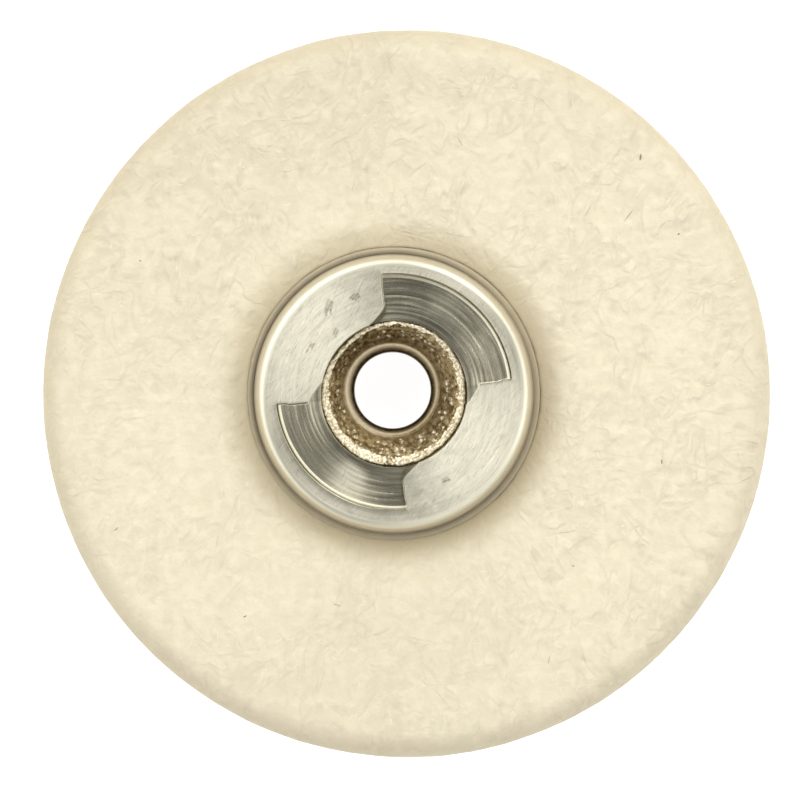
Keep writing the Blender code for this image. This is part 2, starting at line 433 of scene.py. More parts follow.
CREAM_PINK = rgb(0.806, 0.717, 0.531)
CREAM_GREEN = rgb(0.795, 0.718, 0.523)
CREAM_WHITE = rgb(0.833, 0.748, 0.558)
# Tan of the felt's soiling and painted shade, beside the hub and at the edge
SOILED = rgb(0.470, 0.395, 0.250)
# Colour of the painted shade in the crevice where the felt meets the brim
CREVICE = rgb(0.430, 0.355, 0.225)
WOOL_PALE = rgb(0.90, 0.825, 0.640), rgb(0.87, 0.785, 0.590)
WOOL_DULL = rgb(0.78, 0.70, 0.51), rgb(0.72, 0.64, 0.46)
HAIR = rgb(0.20, 0.15, 0.09), rgb(0.34, 0.27, 0.17)
ALUMINIUM_DULL = rgb(0.83, 0.79, 0.635)
ALUMINIUM_PALE = rgb(0.94, 0.90, 0.725)
# Colours of the recess floors, darker than the lobes as a painted dark reflection
FLOOR_DARK = rgb(0.66, 0.615, 0.455)
FLOOR_PALE = rgb(0.82, 0.765, 0.570)
SCUFFED = rgb(0.17, 0.15, 0.10)
# Tan of the hub's waist and pocket wall: painted reflection of the felt and painted shade, with some grime
GRIME = rgb(0.50, 0.43, 0.29), rgb(0.66, 0.57, 0.40)
BRASS_DARK = rgb(0.155, 0.105, 0.043)
BRASS = rgb(0.435, 0.325, 0.163)
BRASS_WORN = rgb(0.74, 0.62, 0.42)
BRASS_TORN = rgb(0.52, 0.43, 0.25), rgb(0.96, 0.88, 0.67)

WRINKLES = (  # slant in degrees, length, pitch, shift
    (118.0, 2.0, 1.00, 3.0),
    (52.0, 1.8, 0.90, 17.0),
    (8.0, 1.6, 0.95, 29.0),
    (84.0, 1.9, 0.85, 41.0),
)
DARK_SCRATCHES = (66.0, 0.50, 0.055), (44.0, 0.40, 0.055)  # slant in degrees, length, pitch
PALE_SCRATCHES = (58.0, 0.45, 0.065)


def wrinkles(s, point, degrees, length, pitch, shift):
    """1 along soft wavering lines at about this slant, in patches, and 0 elsewhere."""
    moved = s.vector("ADD", point, (shift, -shift, shift * 0.3))
    level = s.noise(s.slanted(moved, degrees, length, pitch), 1.0, 2.0, 0.6, 0.35)
    away = s.math("ABSOLUTE", s.math("SUBTRACT", level, 0.5))
    patches = s.ramp(s.noise(moved, 0.42, 1.0), 0.47, 0.60)
    return s.product(s.ramp(away, 0.0, 0.075, 1.0, 0.0), patches)


def felt_material():
    material, s, surface = principled("pressed_wool_felt", Roughness=0.95, Sheen_Weight=0.12,
                                      Sheen_Roughness=0.6, Specular_IOR_Level=0.15)
    point = s.place()
    broad = s.noise(point, 0.28, 2.0)
    patchy = s.noise(point, 0.9, 3.0, 0.55)
    cloudy = s.noise(point, 2.1, 4.0, 0.60, 0.25)
    colour = s.blend(s.ramp(broad, 0.38, 0.62), CREAM_PINK, CREAM_GREEN)
    colour = s.blend(s.ramp(cloudy, 0.42, 0.66), s.times(colour, 0.98), CREAM_WHITE)
    colour = s.times(colour, s.ramp(patchy, 0.30, 0.70, 0.98, 1.01))
    lines = 0.0
    for wrinkle in WRINKLES:
        lines = s.larger(lines, wrinkles(s, point, *wrinkle))
    lines = s.product(lines, s.attribute("lively"))
    # painted shade along the wrinkles, which are also bumped in as valleys
    colour = s.darkened(colour, lines, 0.94)
    # painted shade in the creases
    colour = s.darkened(colour, s.attribute("crease"), 0.90)
    colour = s.times(colour, s.attribute("tone"))
    # painted shadow of the hub and painted shade at the edge, with some soiling
    colour = s.blend(s.attribute("soil"), colour, SOILED)
    # painted shade in the crevice where the felt meets the hub's brim
    colour = s.blend(s.attribute("crevice"), colour, CREVICE)
    fine = s.noise(point, 8.0, 4.0, 0.65)
    height = s.math("MULTIPLY_ADD", fine, 0.30, s.product(cloudy, 0.9))
    height = s.math("MULTIPLY_ADD", lines, -0.30, height)
    plug(s, surface, Base_Color=colour, Normal=s.bump(height, 0.06),
         Roughness=s.ramp(fine, 0.3, 0.7, 0.90, 1.0))
    return material


def fibre_material():
    """Loose fibres and folds: a little darker or lighter than the felt by their tone."""
    material, s, surface = principled("loose_wool_fibre", Roughness=0.9, Sheen_Weight=0.1)
    shade = s.noise(s.place(), 1.3, 2.0)
    colour = s.blend(s.attribute("tone"), s.blend(shade, *WOOL_DULL), s.blend(shade, *WOOL_PALE))
    plug(s, surface, Base_Color=colour)
    return material


def hair_material():
    material, s, surface = principled("dark_stray_hair", Roughness=0.6)
    plug(s, surface, Base_Color=s.blend(s.noise(s.place(), 6.0, 2.0), *HAIR))
    return material


def scratches(s, point, degrees, length, pitch):
    """Sparse short straight scratches at one slant: about 1 on a scratch and 0 off it."""
    return s.ramp(s.noise(s.slanted(point, degrees, length, pitch), 1.0, 3.0, 0.7), 0.54, 0.68)


def aluminium(name, dents, wear=None):
    """Turned aluminium round the hub's axis: circular streaks and blotches. The optional function adds
    wear, painted light and painted shade to its looks.
    """
    material, s, surface = principled(name, Metallic=1.0, Anisotropic=0.85, Anisotropic_Rotation=0.25)
    point = s.place((HUB_X, 0.0, 0.0))
    radius, outward = s.polar(point)
    long_streaks = s.streaks(radius, outward, 0.45, 0.085)
    fine_streaks = s.streaks(radius, outward, 0.16, 0.040)
    blotches = s.noise(point, 1.7, 4.0, 0.6, 0.6)
    streaky = s.math("ADD", s.product(long_streaks, 0.6), s.product(fine_streaks, 0.4))
    roughness = s.math("ADD", s.ramp(blotches, 0.35, 0.70, 0.46, 0.56),
                       s.ramp(streaky, 0.3, 0.7, -0.06, 0.06))
    colour = s.blend(s.ramp(streaky, 0.38, 0.62), ALUMINIUM_DULL, ALUMINIUM_PALE)
    if wear is not None:
        colour, roughness, metallic = wear(s, point, colour, roughness, long_streaks, streaky, blotches)
        plug(s, surface, Metallic=metallic)
    normal = s.bump(streaky, 0.004)
    normal = s.bump(blotches, 0.006, dents, normal)
    tangent = s.node("Tangent", direction_type="RADIAL", axis="Z").outputs[0]
    plug(s, surface, Base_Color=colour, Roughness=roughness, Normal=normal, Tangent=tangent)
    return material


def drive_face_wear(s, point, colour, roughness, long_streaks, streaky, blotches):
    """(colour, roughness, metallic) of the hub: scratches, polished floors with a painted dark reflection,
    tarnish with painted shade, painted highlights on the rim and the lip, scuffs, grime with a painted
    reflection of the felt, and painted shade at the foot.
    """
    polish, rim, worn_lip, grime = (s.attribute(name) for name in ("polish", "rim", "worn_lip", "grime"))
    smoother = s.ramp(long_streaks, 0.3, 0.7, 0.20, 0.28)
    roughness = s.mixed(polish, roughness, smoother)
    dark, darker = (scratches(s, point, *slanted) for slanted in DARK_SCRATCHES)
    colour = s.darkened(colour, s.larger(dark, darker), 0.79)
    pale = scratches(s, point, *PALE_SCRATCHES)
    colour = s.times(colour, s.ramp(pale, 0.0, 1.0, 0.97, 1.12))
    # smoother recess floors with darker colours: real polish with a painted dark reflection
    colour = s.blend(polish, colour, s.blend(streaky, FLOOR_DARK, FLOOR_PALE))
    # painted shade and reflection falloff, mottled with tarnish blotches
    tarnish = s.math("MULTIPLY_ADD", s.math("SUBTRACT", blotches, 0.5), 0.60, s.attribute("dull"))
    colour = s.times(colour, s.ramp(tarnish, -0.1, 1.1, 1.0, 0.35))
    # the rim: a little smoother, and paler as a painted highlight
    roughness = s.mixed(rim, roughness, 0.38)
    colour = s.blend(rim, colour, ALUMINIUM_PALE)
    # painted highlight on the lip beside the groove
    colour = s.blend(worn_lip, colour, ALUMINIUM_PALE)
    colour = s.blend(s.attribute("scuff"), colour, SCUFFED)
    # painted reflection of the felt and painted shade on the waist and pocket wall, with some grime
    colour = s.blend(grime, colour, s.blend(blotches, *GRIME))
    colour = s.darkened(colour, s.attribute("foot"), 0.38)
    covered = s.larger(s.ramp(grime, 0.3, 1.0, 0.0, 0.9), s.product(worn_lip, 0.6))
    return colour, roughness, s.math("SUBTRACT", 1.0, covered)


def brass():
    """Tarnished brass, mottled away from the bore's lip, with painted glints, a painted highlight and
    painted shade round the lip, and a torn bright edge that is partly painted highlight.
    """
    material, s, surface = principled("tarnished_brass", Metallic=1.0)
    point = s.place((HUB_X, 0.0, 0.0))
    sparkles, lip = s.attribute("sparkle"), s.attribute("lip")
    grains = s.noise(point, 6.5, 3.0, 0.6)
    specks = s.noise(point, 11.0, 2.0, 0.5)
    torn = s.math("ADD", s.attribute("raw_metal"), s.ramp(specks, 0.30, 0.70, -0.30, 0.30))
    torn = s.ramp(torn, 0.35, 0.65)
    # painted glints: chosen cells turned bright
    cells = s.node("TexVoronoi", {"Vector": point, "Scale": 5.0}).outputs
    chance = s.node("SeparateColor", {0: cells["Color"]}).outputs[0]
    chosen = s.math("LESS_THAN", chance, s.product(sparkles, 1.40))
    sparkle = s.product(chosen, s.ramp(cells["Distance"], 0.24, 0.54, 0.95, 0.0))
    sparkle = s.product(sparkle, s.ramp(s.noise(point, 9.0, 2.0, 0.6), 0.43, 0.58))
    mottled = s.mixed(s.ramp(sparkles, 0.0, 0.50, 0.40, 1.0), 0.36, s.ramp(grains, 0.38, 0.62))
    colour = s.darkened(s.blend(mottled, BRASS_DARK, BRASS), s.attribute("shade"), 0.34)
    # painted highlight on the lip's crest
    colour = s.blend(lip, colour, BRASS_WORN)
    bright = s.larger(torn, sparkle)
    # torn bright metal and painted glints, partly painted highlight
    colour = s.blend(bright, colour, s.blend(s.ramp(specks, 0.37, 0.58), *BRASS_TORN))
    matte = s.larger(s.product(bright, 0.6), s.product(lip, 0.85))
    plug(s, surface, Base_Color=colour, Roughness=s.ramp(grains, 0.3, 0.7, 0.34, 0.50),
         Normal=s.bump(specks, 0.02, 0.7), Metallic=s.math("SUBTRACT", 1.0, matte))
    return material


# -------- felt

def felt_outline():
    """Points (r, z) of the whole felt from its bore outwards over the top and back underneath."""
    edge_start = WHEEL_RADIUS - EDGE_WIDTH
    shoulder = np.array([(-0.06, 0.0), (-0.055, 0.08), (-0.045, 0.15),
                         (-0.025, 0.185), (0.015, 0.202), (0.07, 0.208)]) + (WALL, SEAT)
    radii = np.arange(WALL + 0.14, edge_start, 0.083)
    swell = SEAT + SHOULDER + (SQUEEZE - SHOULDER) * rising(radii, WALL, WALL + SWELL_WIDTH)
    turn = np.radians(np.linspace(0, EDGE_TURN, 17))
    edge = np.stack([edge_start + EDGE_WIDTH * np.sin(turn) / math.sin(turn[-1]),
                     FELT_TOP - EDGE_DROP * (1 - np.cos(turn))], axis=1)
    seat = line((FELT_BORE, SEAT), shoulder[0], 0.6)
    upper = np.concatenate([seat, shoulder, np.stack([radii, swell], axis=1), edge])
    side = line(upper[-1], (WHEEL_RADIUS, 2 * FELT_MIDDLE - upper[-1, 1]), 0.11)[1:]
    lower = upper[::-1] * (1, -1) + (0, 2 * FELT_MIDDLE)
    return np.concatenate([upper, side, lower])


def calm_share(points):
    """1 where the felt is smoothest, on its -X -Y side, and 0 across the middle and on the other side."""
    turn = np.arctan2(points[..., 1], points[..., 0])
    away = rising(np.hypot(points[..., 0], points[..., 1]), 5.0, 7.5)
    return away * rising(cosine_to(turn, 228), -0.1, 0.8)


def liveliness(points):
    """How strong creases and wrinkles are at these points."""
    return 1 - 0.28 * calm_share(points)


def felt_relief(points):
    """How far the felt's surface stands out at these points: sways, pillows and their creases."""
    sway = 0.030 * noise(points, 4.0, 3)
    wandering = warped(points, 0.9, 0.22, 20)
    pillows = np.abs(noise(wandering, 0.62, 7)) ** 0.8
    small = np.abs(noise(wandering, 0.30, 9)) ** 0.8
    return sway + (1 - 0.35 * calm_share(points)) * (0.042 * (pillows - 0.3) + 0.018 * (small - 0.3))


CREASES = (  # share of the wheel's radius, degrees, turn, half length, width, curl
    (0.873, 48.5, 10.0, 0.16, 0.07, 0.0),
    (0.790, 52.0, 4.0, 0.14, 0.06, 0.3),
    (0.945, 24.8, 5.0, 0.12, 0.05, 0.0),
    (0.930, 29.5, -8.0, 0.20, 0.06, 0.2),
    (0.690, 33.0, 118.0, 0.75, 0.08, 0.35),
    (0.700, 45.0, 100.0, 0.60, 0.10, -0.30),
    (0.800, 62.0, 48.0, 0.55, 0.11, 0.2),
    (0.860, 36.0, 12.0, 0.40, 0.07, 0.8),
    (0.720, -17.0, 80.0, 0.35, 0.20, 0.1),
)


def random_creases():
    """Soft creases all over both faces, and radial ones near the edge, as in CREASES but by place."""
    rows = []
    for _ in range(RANDOM_CREASES):
        angle, share = rng.uniform(0, math.tau), math.sqrt(rng.uniform(0.20, 0.93))
        near_edge = share > 0.87
        turn = angle + rng.normal() * 0.25 if near_edge else rng.uniform(0, math.pi)
        rows.append((share, math.degrees(angle), math.degrees(turn), rng.uniform(0.14, 0.60),
                     rng.uniform(0.055, 0.12), rng.normal() * 0.7))
    return rows


def pressed_creases(points):
    """(depth, painted shade) pressed into the felt by the creases at these points."""
    depth, dark = np.zeros(points.shape[:-1]), np.zeros(points.shape[:-1])
    on_top, underneath = points[..., 2] > FELT_MIDDLE, points[..., 2] < FELT_MIDDLE
    for number, crease in enumerate([*CREASES, *random_creases()]):
        share, degrees, turn, half, width, curl = crease
        middle = share * WHEEL_RADIUS * direction(degrees)
        side = on_top if number < len(CREASES) or number % 2 else underneath
        near = side & (np.abs(points[..., :2] - middle) < half + 0.3).all(axis=-1)
        offset = points[near][:, :2] - middle
        forward = offset @ direction(turn)
        aside = offset @ direction(turn + 90) - curl * (forward ** 2 - 0.3 * half ** 2)
        strength = rng.uniform(0.3, 1.0) * np.clip(1 - (forward / half) ** 2, 0, 1) ** 1.5
        valley, ridge = bell(aside, width), bell(aside - 1.9 * width, 1.2 * width)
        depth[near] += strength * (valley - 0.5 * ridge)
        dark[near] = np.maximum(dark[near], strength * valley)
    return depth * liveliness(points), dark * liveliness(points)


def felt_rings(outline):
    """Smooth rings of the felt. Towards the hub they centre on it, and the step there wavers."""
    radius = outline[:, 0]
    _, spokes = unit_circle(FELT_STEPS)
    round_hub = lifted(spokes * FLANGE_RADIUS, 0.0)
    waver = 0.020 * noise(round_hub, 1.3, 50) + 0.014 * noise(round_hub, 0.35, 51)
    at_step = (radius > WALL - 0.07) * fading(radius, WALL + 0.1, WALL + 0.6)
    to_hub = fading(radius, FLANGE_RADIUS + SWELL_WIDTH, WHEEL_RADIUS - EDGE_WIDTH)
    rings = turned_rings(outline, FELT_STEPS)
    rings[..., :2] += (at_step[:, None] * waver)[..., None] * spokes
    rings[..., :2] += (at_step[:, None] * SEAT_SHIFT)[:, None]
    rings[..., 0] += (HUB_X * to_hub)[:, None]
    return rings


def felt_soil(from_axis, radius, angles):
    """Share of soiling and painted shade: strong beside the hub, where it is mostly the hub's painted
    shadow, most towards 310 degrees, and weak at the wheel's edge, where it is painted shade on the
    rounded edge.
    """
    by_hub = fading(from_axis, WALL - 0.1, WALL + 1.45) ** 1.5
    by_hub *= 0.84 - 0.20 * cosine_to(angles, 130)
    at_edge = rising(radius, WHEEL_RADIUS - 0.85, WHEEL_RADIUS - 0.05)[:, None]
    at_edge = at_edge * (0.43 + 0.14 * cosine_to(angles, 135))
    return np.clip(np.maximum(by_hub, at_edge), 0, 1)


def felt_tone(rings, from_axis, radius, angles):
    """Brightness of the felt: darker outwards, most at 112 and 266 degrees, and a little patchy."""
    darker = 0.050 * facing(angles, 112) ** 2 + 0.055 * facing(angles, 266) ** 6
    darker = darker * rising(from_axis, 5.5, 8.0) + 0.030 * rising(radius, 9.5, 12.3)[:, None]
    return 1 - darker - 0.018 * noise(rings, 4.5, 90)


def make_felt():
    outline = felt_outline()
    radius = outline[:, 0]
    angles, spokes = unit_circle(FELT_STEPS)
    rings = felt_rings(outline)
    creased, crease_dark = pressed_creases(rings)
    bare = 0.25 * rising(radius, WALL - 0.07, WALL + 0.10)
    bare += 0.75 * rising(radius, WALL, WALL + 0.9)
    relief = (felt_relief(rings) - CREASE_DEPTH * creased) * bare[:, None]
    at_side = rising(radius, WHEEL_RADIUS - 0.5, WHEEL_RADIUS - 0.05)[:, None]
    relief = relief * (1 - 0.5 * at_side) - 0.02 * at_side
    push_out(rings, relief, outline, spokes)

    felt = ring_piece("felt_wheel_body", rings, felt_material())
    from_axis = np.hypot(rings[..., 0] - HUB_X, rings[..., 1])
    # painted shade in the crevice at the felt's step beside the brim
    crevice = 0.8 * fading(radius, WALL - 0.03, WALL + 0.04)[:, None]
    set_attributes(felt, soil=felt_soil(from_axis, radius, angles), crease=crease_dark,
                   tone=felt_tone(rings, from_axis, radius, angles), lively=liveliness(rings),
                   crevice=crevice * (1 - 0.75 * near_angle(angles, 245, 52)))
    return felt


def top_height(places):
    """Height of the felt's flat top at places (x, y)."""
    return FELT_TOP + felt_relief(lifted(places, FELT_TOP))


def strands(starts, headings, lengths, bends, thickness, sink, steps):
    """Tapered tubes that wander over the felt: their points and their faces."""
    along = np.linspace(0, 1, steps)
    wander = rng.normal(size=(len(starts), 3))
    waves = sum(wander[:, k, None] * np.sin(math.pi * (k + 1) * along + k) for k in range(3))
    turn = headings[:, None] + bends[:, None] * waves
    step = lengths[:, None, None] / (steps - 1) * unit_vectors(turn)
    path = starts[:, None] + np.cumsum(step, axis=1) - 0.5 * step.sum(1, keepdims=True)
    girth = thickness[:, None] * np.sin(math.pi * np.clip(along, 0.04, 0.96)) ** 0.5
    centre = np.concatenate([path, (top_height(path) - sink * girth)[..., None]], axis=-1)
    sideways = np.stack([-np.sin(turn), np.cos(turn), np.zeros_like(turn)], axis=-1)
    angles, _ = unit_circle(STRAND_SIDES)
    round_x, round_z = np.cos(angles)[:, None], np.sin(angles)[:, None]
    points = centre[:, :, None] + girth[..., None, None] * (
        round_x * sideways[:, :, None] + round_z * np.array([0.0, 0.0, 1.0]))
    last = (steps - 1) * STRAND_SIDES
    caps = np.array([(0, 1, 2, 3), (0, 3, 4, 5), (last + 3, last + 2, last + 1, last),
                     (last + 5, last + 4, last + 3, last)])
    one = np.concatenate([ring_faces(steps, STRAND_SIDES, closed=False), caps])
    faces = one + (np.arange(len(starts)) * steps * STRAND_SIDES)[:, None, None]
    return points.reshape(-1, 3), faces.reshape(-1, 4)


def scattered(count):
    """Random places (x, y) on the felt's flat top, thicker on its +X side."""
    places = rng.uniform(-WHEEL_RADIUS, WHEEL_RADIUS, size=(count * 4, 2))
    from_hub = np.hypot(places[:, 0] - HUB_X, places[:, 1])
    inside = (from_hub > FLANGE_RADIUS + SWELL_WIDTH) & (np.hypot(*places.T) < WHEEL_RADIUS - 1.05)
    keep = rng.uniform(size=len(places)) < 0.62 + 0.38 * rising(places[:, 0], -4.0, 6.0)
    return places[inside & keep][:count]


def joined(parts):
    """Meshes (points, faces) as one."""
    offsets = np.cumsum([0] + [len(points) for points, _ in parts[:-1]])
    return (np.concatenate([points for points, _ in parts]),
            np.concatenate([faces + offset for (_, faces), offset in zip(parts, offsets)]))


FIBRES = (  # number, shortest, longest, bend, thinnest, thickest, sink, steps, tone
    (240, 0.14, 0.34, 0.45, 0.013, 0.021, 0.70, 6, 0.80),
    (260, 0.20, 0.55, 0.40, 0.013, 0.021, 0.75, 7, 0.35),
    (40, 0.50, 1.20, 0.45, 0.014, 0.022, 0.80, 12, 0.40),
)


def make_fibres():
    """Short loose fibres, pale and dull, and long thin folds, half sunk in the felt."""
    parts, tones = [], []
    for count, shortest, longest, bend, thinnest, thickest, sink, steps, tone in FIBRES:
        starts = scattered(count)
        number = len(starts)
        headings, lengths = rng.uniform(0, math.tau, number), rng.uniform(shortest, longest, number)
        bends = rng.uniform(0.3, 1.0, number) * bend
        girths = rng.uniform(thinnest, thickest, number)
        parts.append(strands(starts, headings, lengths, bends, girths, sink, steps))
        shades = np.clip(tone + rng.uniform(-0.1, 0.45, number), 0, 1)
        tones.append(np.repeat(shades, steps * STRAND_SIDES))
    points, faces = joined(parts)
    fibres = mesh_piece("surface_wool_fibres", points, faces, fibre_material())
    set_attributes(fibres, tone=np.concatenate(tones))
    return fibres


FLECKS = (  # share of the wheel's radius, degrees, turn, length, thickness
    (0.911, 45.3, 80.0, 0.23, 0.044),
    (0.777, 38.7, 51.0, 0.50, 0.016),
    (0.864, 30.4, 20.0, 0.09, 0.034),
    (0.724, -15.0, 95.0, 0.16, 0.030),
    (0.755, 234.0, 30.0, 0.13, 0.028),
    (0.816, 153.5, 140.0, 0.10, 0.026),
    (0.657, -46.0, 10.0, 0.09, 0.026),
    (0.705, 78.0, 120.0, 0.30, 0.013),
    (0.610, 252.0, 165.0, 0.26, 0.012),
    (0.880, 205.0, 40.0, 0.22, 0.012),
    (0.830, -62.0, 75.0, 0.34, 0.013),
)


def make_flecks():
    """Dark flecks and short stray hairs caught in the felt."""
    share, degrees, turn, length, thickness = np.array(FLECKS).T
    places = (share * WHEEL_RADIUS)[:, None] * unit_vectors(np.radians(degrees))
    bends = np.full(len(FLECKS), 0.04)
    points, faces = strands(places, np.radians(turn), length, bends, thickness, 0.55, 9)
    return mesh_piece("dark_flecks", points, faces, hair_material())


# -------- drive hub

def share_inwards(radius, start):
    """0 outside this start, rising evenly to 1 at the pocket's wall."""
    return min(max((start - radius) / (start - POCKET_RADIUS), 0.0), 1.0)


def ramp_end(radius):
    """The recess's shallow end: radial, then turning along the rivet as a notch."""
    return RAMP_END - RAMP_END_SWEEP * share_inwards(radius, NOTCH_RADIUS)


def ramp_start(radius):
    """The recess's deep end: radial, then curving back round the lobe's corner."""
    return RAMP_START + RAMP_START_SWEEP * share_inwards(radius, CORNER_RADIUS) ** 2


def quarter_bend(size, steps):
    """Points (across, up) of a quarter bend: up falls from size to 0 while across rises from 0 to it."""
    turn = np.radians(np.linspace(0, 90, steps))
    return size * np.stack([1 - np.cos(turn), 1 - np.sin(turn)], axis=1)


def step_profile(depth, towards_lobe):
    """(tangential offset, depth) over a step's fillet, wall and broken edge, up to the lobe."""
    bend = quarter_bend(min(EDGE_BREAK, depth * 0.4), 4)
    foot = np.stack([-WALL_DRAFT - bend[:, 1], depth - bend[:, 0]], axis=1)
    points = np.concatenate([foot, bend])
    return points if towards_lobe else points[::-1] * (-1, 1)


def face_pattern(radius, groove):
    """Angles, depths, floor marks, shares along the ramp and recess numbers of one ring, for the
    half turn of one recess and its lobe and then again for the other."""
    first, last = ramp_end(radius), ramp_start(radius)
    up = step_profile(RAMP_DEEP, True)
    down = step_profile(RAMP_SHALLOW + groove, False)
    per_mm = math.degrees(1 / radius)
    share = np.linspace(0, 1, RAMP_STEPS)
    ramp_from, ramp_to = first + down[-1, 0] * per_mm, last + up[0, 0] * per_mm
    lobe_from, lobe_to = last + up[-1, 0] * per_mm, first + 180 + down[0, 0] * per_mm
    angles = np.concatenate([
        ramp_from + (ramp_to - ramp_from) * share,
        last + up[1:, 0] * per_mm,
        np.linspace(lobe_from, lobe_to, LOBE_STEPS + 2)[1:-1],
        first + 180 + down[:-1, 0] * per_mm,
    ])
    ramp = RAMP_SHALLOW + (RAMP_DEEP - RAMP_SHALLOW) * share + groove * (1 - share)
    depths = np.concatenate([ramp, up[1:, 1], np.zeros(LOBE_STEPS), down[:-1, 1]])
    rest = len(angles) - RAMP_STEPS
    shares = np.concatenate([share, np.ones(len(up) - 1), np.zeros(rest - len(up) + 1)])
    floor = np.concatenate([np.ones(RAMP_STEPS), np.zeros(rest)])
    both = [np.tile(row, 2) for row in (depths, floor, shares)]
    return np.concatenate([angles, angles + 180]), *both, np.repeat([0.0, 1.0], len(angles))


def lip_rise(shares, second):
    """How far the lip beside the groove stands up. In the first recess it runs out near the deep end."""
    there = np.maximum(second, fading(shares, 0.50, 0.80))
    return LIP_RISE * there * (1 - 0.35 * shares)


def face_ring(radius, like=None, groove=0.0, drop=0.0, lip=0.0, least=0.0, most=math.inf):
    """One ring of the drive face, with the pattern of the radius like: points (x, y, z) and floor marks.
    Its depths grow by drop, shrink by this share of the lip, and are kept between least and most."""
    angles, depths, floor, shares, second = face_pattern(like or radius, groove)
    depths = np.clip(depths + drop - lip * lip_rise(shares, second), least, most)
    turn = np.radians(angles)
    return np.stack([radius * np.cos(turn), radius * np.sin(turn), FACE - depths], axis=-1), floor


def hub_outside_profile():
    """Points (r, z) from under the brim, round it, up the waist and over the rim to the flat face."""
    brim_top = UNDER_BRIM + BRIM_THICKNESS
    brim = arc((FLANGE_RADIUS - BRIM_ROUND, brim_top - BRIM_ROUND), BRIM_ROUND, 0, 90, 4)
    gap = brim_top - BRIM_ROUND
    undercut = [(FOOT_RADIUS + 0.02, brim_top), (FOOT_RADIUS, gap), (FOOT_RADIUS - 0.025, gap)]
    waist = (WALL_TOP, FACE - 1.7 * RIM_ROUND)
    rim = arc((RIM_START, FACE - RIM_ROUND), RIM_ROUND, 15, 90, 16)
    shoulder = [line((FOOT_RADIUS - 0.015, brim_top + 0.02), waist, 0.06), line(waist, rim[0], 0.03)]
    return np.concatenate([[(FLANGE_RADIUS, UNDER_BRIM)], brim, undercut, *shoulder, rim])


def hub_rings():
    """(rings, floor marks) of the hub about its own axis, from the brim in over the face and back down."""
    rings, floors = [], []

    def add(radius, **settings):
        points, floor = face_ring(radius, **settings)
        rings.append(points)
        floors.append(floor)

    def add_flat(radius, height, like):
        points, floor = face_ring(radius, like)
        points[:, 2] = height
        rings.append(points)
        floors.append(floor * 0)

    for radius, height in hub_outside_profile():
        add_flat(radius, height, RECESS_RADIUS)
    for radius in np.linspace(RIM_START, RECESS_RADIUS + EDGE_BREAK, 10)[1:]:
        add_flat(radius, FACE, RECESS_RADIUS)
    bend = quarter_bend(EDGE_BREAK, 5)
    for down, out in bend[1:]:
        add(RECESS_RADIUS + out, like=RECESS_RADIUS, groove=GROOVE_DEPTH, most=down)
    for inwards, up in bend[::2]:
        add(RECESS_RADIUS - WALL_DRAFT - inwards, groove=GROOVE_DEPTH, drop=-up)
    for share in np.linspace(0, 1, 9):
        add(LIP_RADIUS - LIP_WIDTH * share, lip=math.sin(math.pi * share) ** 0.7)
    for radius in np.linspace(LIP_RADIUS - LIP_WIDTH, POCKET_RADIUS + EDGE_BREAK, 50)[1:]:
        add(radius)
    for down, out in bend[1:]:
        add(POCKET_RADIUS + out, like=POCKET_RADIUS, drop=down)
    add(POCKET_RADIUS - WALL_DRAFT, like=POCKET_RADIUS, drop=0.05, least=RAMP_DEEP - 0.06)
    pocket_floor = FACE - RAMP_DEEP - POCKET_DROP
    back = FELT_BOTTOM + SQUEEZE + CLEARANCE
    add_flat(POCKET_RADIUS - WALL_DRAFT, pocket_floor, POCKET_RADIUS)
    add_flat(HUB_BORE, pocket_floor - (POCKET_RADIUS - HUB_BORE), POCKET_RADIUS)
    add_flat(HUB_BORE, back, POCKET_RADIUS)
    add_flat(SLEEVE_RADIUS, back, RECESS_RADIUS)
    add_flat(SLEEVE_RADIUS, UNDER_BRIM, RECESS_RADIUS)
    return np.array(rings), np.array(floors)


def cut_marks(rings, radius, floors):
    """Cuts turning marks and dents into the face, and scored rings into the recess floors."""
    on_face = (rings[..., 2] > FACE - RAMP_DEEP - 0.02) & (radius < RIM_START)
    on_face &= radius > POCKET_RADIUS + 0.05
    on_face &= (radius < LIP_RADIUS - LIP_WIDTH - 0.02) | (radius > RECESS_RADIUS + 0.05)
    wander = warped(rings, 1.6, 0.05, 70)
    marks = np.sin(np.hypot(wander[..., 0], wander[..., 1]) * math.tau / MARK_PITCH)
    marks *= 0.5 + 0.5 * noise(rings, 0.7, 60)
    rings[..., 2] += on_face * marks * (FLOOR_MARK_DEPTH * floors + MARK_DEPTH)
    for ring in SCORED_RINGS:
        score = bell(radius - ring - 0.01 * noise(rings, 2.0, 67), SCORE_WIDTH)
        rings[..., 2] -= SCORE_DEPTH * on_face * floors * score * (0.6 + 0.4 * noise(rings, 1.2, 68))
    rings[..., 2] += on_face * (1 - floors) * DENT_DEPTH * noise(rings, 1.1, 65)


SHADED_RIM = (315, 30, 0.27), (85, 40, 0.22)  # degrees, width in degrees, share


def hub_foot(radius, turn, below, rim):
    """How shaded the hub is: most where its waist meets the brim, then its side and parts of its rim."""
    crevice_radius = FOOT_RADIUS - 0.005 + 0.095 * towards(turn, 285) ** 2
    # painted shade in the crevice where the waist meets the brim
    crevice = bell(radius - crevice_radius, 0.050) * rising(below, 0.3, 0.6)
    crevice *= 0.75 - 0.60 * facing(turn, 0) ** 2
    side = (0.33 + 0.10 * cosine_to(turn, 285)) * rising(below, 0.14, 0.50)
    foot = np.maximum(crevice, side * (radius > RIM_END))
    return np.clip(np.maximum(foot, rim * bulges(turn, SHADED_RIM)), 0, 1)


